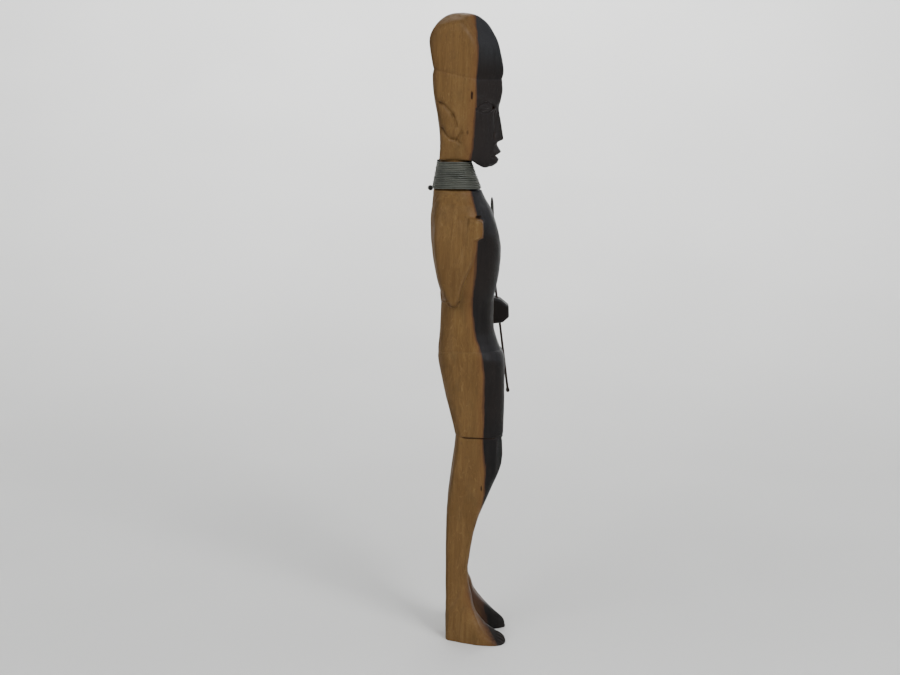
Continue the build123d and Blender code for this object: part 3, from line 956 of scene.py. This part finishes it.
HEART_BROWN = (0.0155, 0.0115, 0.01)
HEART_FIBRE = (0.0031, 0.0025, 0.0025)
CROWN_SHEEN = (0.024, 0.025, 0.027)
UPWARD_SHEEN = (0.024, 0.024, 0.027)
FACE_BROWN = (0.0205, 0.0165, 0.0158)
REAR_SHADE = (0.045, 0.024, 0.010)
KNOT = (0.022, 0.009, 0.003)
RUBBED_SAP = (0.2046, 0.1122, 0.0429)
RUBBED_HEART = (0.0264, 0.0224, 0.0211)
DIRT_AND_SHADE = (0.0277, 0.0125, 0.0053)
# Knots and short cracks: centre, radii and strength.
KNOTS = (
    ((-2.0, -12.4, 269.9), (0.55, 3.0, 1.9), 1.0),
    ((-3.6, -11.0, 252.7), (0.50, 3.0, 1.0), 0.5),
    ((7.7, -11.5, 80.2), (0.40, 3.0, 1.5), 0.9),
    ((-12.4, -17.0, 178.0), (0.60, 4.0, 2.2), 0.25),
    ((-6.0, 12.4, 284.0), (0.45, 3.0, 1.3), 0.9),
    ((-15.5, 3.0, 128.0), (4.0, 0.5, 1.6), 0.8),
)
CHIN_HEIGHT, CHEEK_HEIGHT = 236.0, 242.0
BROW_HEIGHT, HAIRLINE_HEIGHT = 276.8, 277.6
WOOD_SPECULAR = 0.13


def wood():
    """Brown sapwood that turns into black heartwood, with its grain, wear and dirt, and painted
    shade and sheen.
    """
    n = Nodes("two_tone_hardwood")
    broad = n.noise((0.06, 0.06, 0.018), 2.0)
    streak = n.noise((0.55, 0.55, 0.028), 4.0, 0.6)
    fibre = n.noise((3.2, 3.2, 0.10), 3.0, 0.6)
    pore = n.noise((5.5, 5.5, 0.42), 1.0, 0.5)
    ragged = n.noise((0.5, 0.5, 0.055), 4.0, 0.62)
    grime = n.noise((0.16, 0.16, 0.09), 4.0, 0.6)
    speckle = n.noise((1.3, 1.3, 0.9), 2.0, 0.5)

    heart = n.attribute("heart")
    wander = n.math("MULTIPLY", n.math("SUBTRACT", ragged, 0.5), 2.2)
    fray = n.math("MULTIPLY", n.math("SUBTRACT", fibre, 0.5), 0.7)
    edge = n.math("ADD", heart, n.math("ADD", wander, fray))
    dark = n.ramp(edge, -0.42, 0.42)
    uneven = n.math("MULTIPLY", n.math("SUBTRACT", broad, 0.5), 6.0)
    blush = n.ramp(n.math("ADD", edge, uneven), -5.2, 0.2)

    # The sapwood, from its broad tones to its pores.
    sap = n.mix(n.ramp(broad, 0.34, 0.66), SAP_DEEP, SAP_LIGHT)
    sap = n.mix(n.ramp(streak, 0.38, 0.70, 0.0, 0.60), sap, SAP_STREAK)
    sap = n.mix(n.ramp(streak, 0.46, 0.24, 0.0, 0.45), sap, SAP_PALE_STREAK)
    sap = n.mix(n.ramp(fibre, 0.50, 0.74, 0.0, 0.35), sap, SAP_FIBRE)
    rings = n.math("SUBTRACT", n.noise((0.30, 0.30, 0.045), 2.0, 0.5, 1.4), 0.5)
    pale_ring = n.ramp(n.math("ABSOLUTE", n.math("ADD", rings, 0.035)), 0.0, 0.014, 0.24, 0.0)
    sap = n.mix(pale_ring, sap, PALE_RING)
    dark_ring = n.ramp(n.math("ABSOLUTE", n.math("SUBTRACT", rings, 0.05)), 0.0, 0.016, 0.28, 0.0)
    sap = n.mix(dark_ring, sap, DARK_RING)
    sap = n.mix(n.ramp(grime, 0.50, 0.72, 0.0, 0.40), sap, SAP_GRIME)
    sap = n.mix(n.math("MULTIPLY", blush, 0.50), sap, SAP_BLUSH)
    seam = n.math("MULTIPLY", n.ramp(edge, -1.4, -0.3), 0.75)
    sap = n.mix(seam, sap, SAP_SEAM)
    sap = n.mix(n.ramp(pore, 0.66, 0.73, 0.0, 0.45), sap, SAP_PORE)

    # The heartwood, with a painted sheen on the crown and a browner face under the hairline.
    black = n.mix(n.ramp(streak, 0.3, 0.7), HEART_DEEP, HEART_LIGHT)
    black = n.mix(n.ramp(broad, 0.42, 0.66, 0.0, 0.6), black, HEART_BROWN)
    black = n.mix(n.ramp(fibre, 0.52, 0.76, 0.0, 0.5), black, HEART_FIBRE)
    # Painted sheen lightens the crown.
    on_crown = n.ramp(n.height(), 279.0, 292.0)
    crown_sheen = n.math("MULTIPLY", on_crown, n.ramp(streak, 0.25, 0.6, 0.35, 0.8))
    black = n.mix(crown_sheen, black, CROWN_SHEEN)
    # Painted sheen where surfaces face up, as light from above would give.
    facing_up = n.ramp(n.attribute("up"), 0.08, 0.32)
    lit_from_above = n.math("MULTIPLY", facing_up, n.ramp(ragged, 0.3, 0.6, 0.3, 0.65))
    black = n.mix(lit_from_above, black, UPWARD_SHEEN)
    over_chin = n.ramp(n.height(), CHIN_HEIGHT, CHEEK_HEIGHT)
    under_hair = n.ramp(n.height(), HAIRLINE_HEIGHT, BROW_HEIGHT)
    face = n.math("MULTIPLY", over_chin, under_hair)
    black = n.mix(n.math("MULTIPLY", face, 0.65), black, FACE_BROWN)

    # What lies over both.
    sap = n.mix(n.math("MULTIPLY", n.attribute("red"), 0.85), sap, INSTEP_RED)
    hair = n.math("MULTIPLY", n.ramp(n.height(), 277.0, 280.0), 0.16)
    sap = n.mix(hair, sap, SAP_HAIR)
    colour = n.mix(dark, sap, black)
    # Painted shade on the surfaces that face backwards.
    rear = n.math("MULTIPLY", n.ramp(n.attribute("rear"), 0.35, 0.85), 0.32)
    colour = n.mix(rear, colour, REAR_SHADE)

    for centre, radii, strength in KNOTS:
        knot = n.math("MULTIPLY", n.spot(centre, radii, speckle), strength)
        colour = n.mix(knot, colour, KNOT)

    rub = n.math("MULTIPLY", n.ramp(n.attribute("dirt_edge"), 0.15, 0.70), 0.20)
    rub_sap = n.math("MULTIPLY", rub, n.math("SUBTRACT", 1.0, dark))
    colour = n.mix(rub_sap, colour, RUBBED_SAP)
    colour = n.mix(n.math("MULTIPLY", rub, dark), colour, RUBBED_HEART)
    # Dirt and painted shade in narrow cuts, and painted shade in wide hollows.
    crack = n.ramp(n.attribute("narrow_hollow"), 0.18, 0.95)
    hollow = n.math("MULTIPLY", n.ramp(n.attribute("shade"), 0.15, 0.9), 0.45)
    dirt_and_shade = n.math("ADD", crack, hollow)
    dirt_and_shade = n.math("MULTIPLY", dirt_and_shade, n.ramp(grime, 0.2, 0.6, 0.6, 1.0), clamp=True)
    colour = n.mix(n.math("MULTIPLY", dirt_and_shade, 0.72), colour, DIRT_AND_SHADE)

    n.put(n.shader.inputs["Base Color"], colour)
    rough = n.ramp(streak, 0.3, 0.7, 0.36, 0.50)
    rough = n.math("ADD", rough, n.math("MULTIPLY", n.ramp(grime, 0.4, 0.7), 0.12))
    rough = n.math("ADD", rough, n.math("MULTIPLY", dirt_and_shade, 0.2))
    rough = n.math("ADD", rough, n.math("MULTIPLY", rear, 0.6))
    n.put(n.shader.inputs["Roughness"], rough)
    n.shader.inputs["Specular IOR Level"].default_value = WOOD_SPECULAR
    pits = n.math("MULTIPLY", n.ramp(pore, 0.73, 0.64), 0.6)
    relief = n.math("ADD", n.math("MULTIPLY", fibre, 0.5), pits)
    relief = n.math("ADD", relief, n.math("MULTIPLY", speckle, 0.25))
    n.put(n.shader.inputs["Normal"], n.bump(relief, 0.00006))
    return n.material


def tarnished_wire():
    """Grey-green wire with brown clouds, darker where its end is curled up."""
    n = Nodes("tarnished_wire")
    cloud = n.noise((0.1165, 0.1178, 0.2649), 4.0, 0.6)
    grain = n.noise((2.2, 2.2, 2.6), 3.0, 0.6)
    colour = n.mix(n.ramp(cloud, 0.34, 0.66), (0.0519, 0.0557, 0.0466), (0.0874, 0.091, 0.0752))
    colour = n.mix(n.ramp(grain, 0.60, 0.80, 0.0, 0.4), colour, (0.0583, 0.0777, 0.0715))
    colour = n.mix(n.ramp(cloud, 0.62, 0.80, 0.0, 0.6), colour, (0.0689, 0.0493, 0.0275))
    colour = n.mix(n.ramp(grain, 0.38, 0.20, 0.0, 0.5), colour, (0.0238, 0.0247, 0.0212))
    curled = n.spot((-20.6, 1.2, 224.9), (1.7, 3.5, 1.7), grain)
    colour = n.mix(n.math("MULTIPLY", curled, 0.75), colour, (0.014, 0.014, 0.015))
    n.put(n.shader.inputs["Base Color"], colour)
    n.put(n.shader.inputs["Metallic"], n.ramp(grain, 0.3, 0.7, 0.6, 0.2))
    n.put(n.shader.inputs["Roughness"], n.ramp(cloud, 0.3, 0.7, 0.38, 0.62))
    n.put(n.shader.inputs["Normal"], n.bump(grain, 0.00004))
    return n.material


def old_iron():
    """Dark iron, browner towards the knob and paler at the head."""
    n = Nodes("old_iron")
    cloud = n.noise((0.35, 0.35, 0.0648), 4.0, 0.6)
    grain = n.noise((2.4, 2.4, 1.4), 3.0, 0.6)
    low = n.ramp(n.height(), 205.0, 175.0)
    colour = n.mix(low, (0.0595, 0.0546, 0.0504), (0.021, 0.0119, 0.0079))
    colour = n.mix(n.ramp(cloud, 0.45, 0.7, 0.0, 0.7), colour, (0.042, 0.0189, 0.0094))
    colour = n.mix(n.ramp(grain, 0.5, 0.75, 0.0, 0.6), colour, (0.0084, 0.007, 0.0065))
    n.put(n.shader.inputs["Base Color"], colour)
    n.put(n.shader.inputs["Metallic"], n.ramp(cloud, 0.35, 0.65, 0.8, 0.2))
    n.put(n.shader.inputs["Roughness"], n.ramp(grain, 0.3, 0.7, 0.42, 0.68))
    n.put(n.shader.inputs["Normal"], n.bump(grain, 0.00005))
    return n.material


figure.data.materials.append(wood())
coil.data.materials.append(tarnished_wire())
spear_shaft.data.materials.append(old_iron())

# ---- stage, light and camera ----

# A sheet of pale paper: the floor, a curve behind the doll, and a wall. All in metres.
SWEEP_NEAR, SWEEP_MIDDLE, SWEEP_START = -2.2, -1.0, 0.35
SWEEP_RADIUS, SWEEP_TOP, SWEEP_HALF_WIDTH = 0.9, 2.4, 2.6
profile = [(SWEEP_NEAR, 0.0), (SWEEP_MIDDLE, 0.0)]
for angle in np.linspace(0, math.pi / 2, 25):
    rise = SWEEP_RADIUS * (1 - math.cos(angle))
    profile.append((SWEEP_START + SWEEP_RADIUS * math.sin(angle), rise))
profile.append((SWEEP_START + SWEEP_RADIUS, SWEEP_TOP))
sweep_mesh = bpy.data.meshes.new("backdrop")
sweep_sides = (-SWEEP_HALF_WIDTH, SWEEP_HALF_WIDTH)
sweep_points = [(x, y, z) for y, z in profile for x in sweep_sides]
sweep_faces = [(2 * i, 2 * i + 1, 2 * i + 3, 2 * i + 2) for i in range(len(profile) - 1)]
sweep_mesh.from_pydata(sweep_points, [], sweep_faces)
sweep_mesh.shade_smooth()
backdrop = bpy.data.objects.new("backdrop", sweep_mesh)
bpy.context.scene.collection.objects.link(backdrop)


def paper():
    n = Nodes("pale_paper")
    cloud = n.noise((0.004, 0.004, 0.004), 2.0)
    colour = n.mix(n.ramp(cloud, 0.3, 0.7), (0.80, 0.80, 0.785), (0.84, 0.84, 0.825))
    n.put(n.shader.inputs["Base Color"], colour)
    n.shader.inputs["Roughness"].default_value = 0.75
    return n.material


backdrop.data.materials.append(paper())

SKY_COLOUR = (0.95, 0.97, 1.0, 1)
SKY_STRENGTH = 0.46
world = bpy.data.worlds.new("studio")
bpy.context.scene.world = world
world.use_nodes = True
background = world.node_tree.nodes["Background"]
background.inputs["Color"].default_value = SKY_COLOUR
background.inputs["Strength"].default_value = SKY_STRENGTH


def area_light(name, place, aim, size, energy, spread=math.pi):
    """A square lamp of size metres and energy watts that points from place to aim."""
    light = bpy.data.lights.new(name, "AREA")
    light.size = size
    light.energy = energy
    lamp = bpy.data.objects.new(name, light)
    bpy.context.scene.collection.objects.link(lamp)
    lamp.location = place
    lamp.rotation_euler = (Vector(aim) - Vector(place)).to_track_quat("-Z", "Y").to_euler()
    light.spread = spread


DOLL_MIDDLE = (0, 0, 0.15)
area_light("key", (0.8, -1.0, 1.1), DOLL_MIDDLE, size=0.6, energy=15.5)
area_light("fill", (-0.9, -0.9, 0.8), DOLL_MIDDLE, size=0.8, energy=7.5)
area_light("wall", (0, 0.1, 1.9), (0, 1.25, 0.8), 0.9, 15, spread=math.radians(80))

# The camera looks at the doll's right side from a little above, slightly rolled.
CAMERA_PLACE = (-0.0094, -0.705, 0.2964)
LENS, SENSOR_WIDTH = 59.05, 36.0
PITCH = math.radians(11.518)
ROLL = math.radians(1.397)
camera_data = bpy.data.cameras.new("camera")
camera_data.lens = LENS
camera_data.sensor_width = SENSOR_WIDTH
camera = bpy.data.objects.new("camera", camera_data)
bpy.context.scene.collection.objects.link(camera)
right = np.array((1.0, 0.0, 0.0))
up = np.array((0.0, math.sin(PITCH), math.cos(PITCH)))
ahead = np.array((0.0, math.cos(PITCH), -math.sin(PITCH)))
rolled_right = math.cos(ROLL) * right + math.sin(ROLL) * up
rolled_up = -math.sin(ROLL) * right + math.cos(ROLL) * up
turned = Matrix([list(row) for row in np.stack([rolled_right, rolled_up, -ahead], 1)])
camera.matrix_world = Matrix.Translation(CAMERA_PLACE) @ turned.to_4x4()
bpy.context.scene.camera = camera
